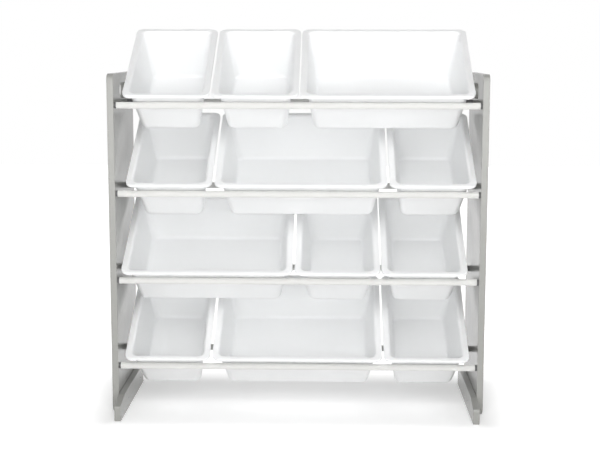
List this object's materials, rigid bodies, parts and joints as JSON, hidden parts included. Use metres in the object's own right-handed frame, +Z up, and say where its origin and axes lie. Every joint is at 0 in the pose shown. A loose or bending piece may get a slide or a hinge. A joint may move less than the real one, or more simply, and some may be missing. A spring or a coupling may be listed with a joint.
{
  "type": "toy storage organizer with bins",
  "caption": "Free-standing children's organizer: grey side panels on foot boards, joined by sleeved steel rods that carry open white bins tilted forward.",
  "frame": {"origin": "on the floor, under the middle of the whole outline seen from above", "axes": "+X from left to right, +Y from front to back, +Z up"},
  "size_m": [0.857, 0.346, 0.885],
  "materials": {
    "grey_paint": "semi-gloss grey paint over fibreboard",
    "bin_plastic": "white moulded plastic, soft gloss",
    "white_sleeve": "warm white extruded plastic tube",
    "dark_steel": "dark grey coated steel",
    "zinc_steel": "zinc plated",
    "black_plastic": "matte black moulding",
    "dowel_wood": "bare fluted beech"
  },
  "bodies": {
    "frame": {"left_side_panel": "grey_paint", "left_foot_board": "grey_paint", "left_rod_bolts": "zinc_steel", "left_rod_end_plugs": "black_plastic", "left_foot_screws": "dark_steel", "left_foot_dowels": "dowel_wood", "right_side_panel": "grey_paint", "right_foot_board": "grey_paint", "right_rod_bolts": "zinc_steel", "right_rod_end_plugs": "black_plastic", "right_foot_screws": "dark_steel", "right_foot_dowels": "dowel_wood", "front_rod_tube_1": "dark_steel", "front_rod_sleeve_1": "white_sleeve", "rear_rod_tube_1": "dark_steel", "rear_rod_sleeve_1": "white_sleeve", "front_rod_tube_2": "dark_steel", "front_rod_sleeve_2": "white_sleeve", "rear_rod_tube_2": "dark_steel", "rear_rod_sleeve_2": "white_sleeve", "front_rod_tube_3": "dark_steel", "front_rod_sleeve_3": "white_sleeve", "rear_rod_tube_3": "dark_steel", "rear_rod_sleeve_3": "white_sleeve", "front_rod_tube_4": "dark_steel", "front_rod_sleeve_4": "white_sleeve", "rear_rod_tube_4": "dark_steel", "rear_rod_sleeve_4": "white_sleeve"},
    "top_left_bin": {"top_left_bin": "bin_plastic"},
    "top_middle_bin": {"top_middle_bin": "bin_plastic"},
    "top_right_bin": {"top_right_bin": "bin_plastic"},
    "upper_left_bin": {"upper_left_bin": "bin_plastic"},
    "upper_middle_bin": {"upper_middle_bin": "bin_plastic"},
    "upper_right_bin": {"upper_right_bin": "bin_plastic"},
    "lower_left_bin": {"lower_left_bin": "bin_plastic"},
    "lower_middle_bin": {"lower_middle_bin": "bin_plastic"},
    "lower_right_bin": {"lower_right_bin": "bin_plastic"},
    "bottom_left_bin": {"bottom_left_bin": "bin_plastic"},
    "bottom_middle_bin": {"bottom_middle_bin": "bin_plastic"},
    "bottom_right_bin": {"bottom_right_bin": "bin_plastic"}
  },
  "joints": [
    {"name": "top_left_lift", "type": "slide", "parent": "frame", "child": "top_left_bin", "axis": [0, -0.5075, 0.8616], "range_m": [0, 0.13]},
    {"name": "top_middle_lift", "type": "slide", "parent": "frame", "child": "top_middle_bin", "axis": [0, -0.5075, 0.8616], "range_m": [0, 0.13]},
    {"name": "top_right_lift", "type": "slide", "parent": "frame", "child": "top_right_bin", "axis": [0, -0.5075, 0.8616], "range_m": [0, 0.13]},
    {"name": "upper_left_lift", "type": "slide", "parent": "frame", "child": "upper_left_bin", "axis": [0, -0.5075, 0.8616], "range_m": [0, 0.038]},
    {"name": "upper_middle_lift", "type": "slide", "parent": "frame", "child": "upper_middle_bin", "axis": [0, -0.5075, 0.8616], "range_m": [0, 0.038]},
    {"name": "upper_right_lift", "type": "slide", "parent": "frame", "child": "upper_right_bin", "axis": [0, -0.5075, 0.8616], "range_m": [0, 0.038]},
    {"name": "lower_left_lift", "type": "slide", "parent": "frame", "child": "lower_left_bin", "axis": [0, -0.5075, 0.8616], "range_m": [0, 0.038]},
    {"name": "lower_middle_lift", "type": "slide", "parent": "frame", "child": "lower_middle_bin", "axis": [0, -0.5075, 0.8616], "range_m": [0, 0.038]},
    {"name": "lower_right_lift", "type": "slide", "parent": "frame", "child": "lower_right_bin", "axis": [0, -0.5075, 0.8616], "range_m": [0, 0.038]},
    {"name": "bottom_left_lift", "type": "slide", "parent": "frame", "child": "bottom_left_bin", "axis": [0, -0.5075, 0.8616], "range_m": [0, 0.038]},
    {"name": "bottom_middle_lift", "type": "slide", "parent": "frame", "child": "bottom_middle_bin", "axis": [0, -0.5075, 0.8616], "range_m": [0, 0.038]},
    {"name": "bottom_right_lift", "type": "slide", "parent": "frame", "child": "bottom_right_bin", "axis": [0, -0.5075, 0.8616], "range_m": [0, 0.038]}
  ]
}
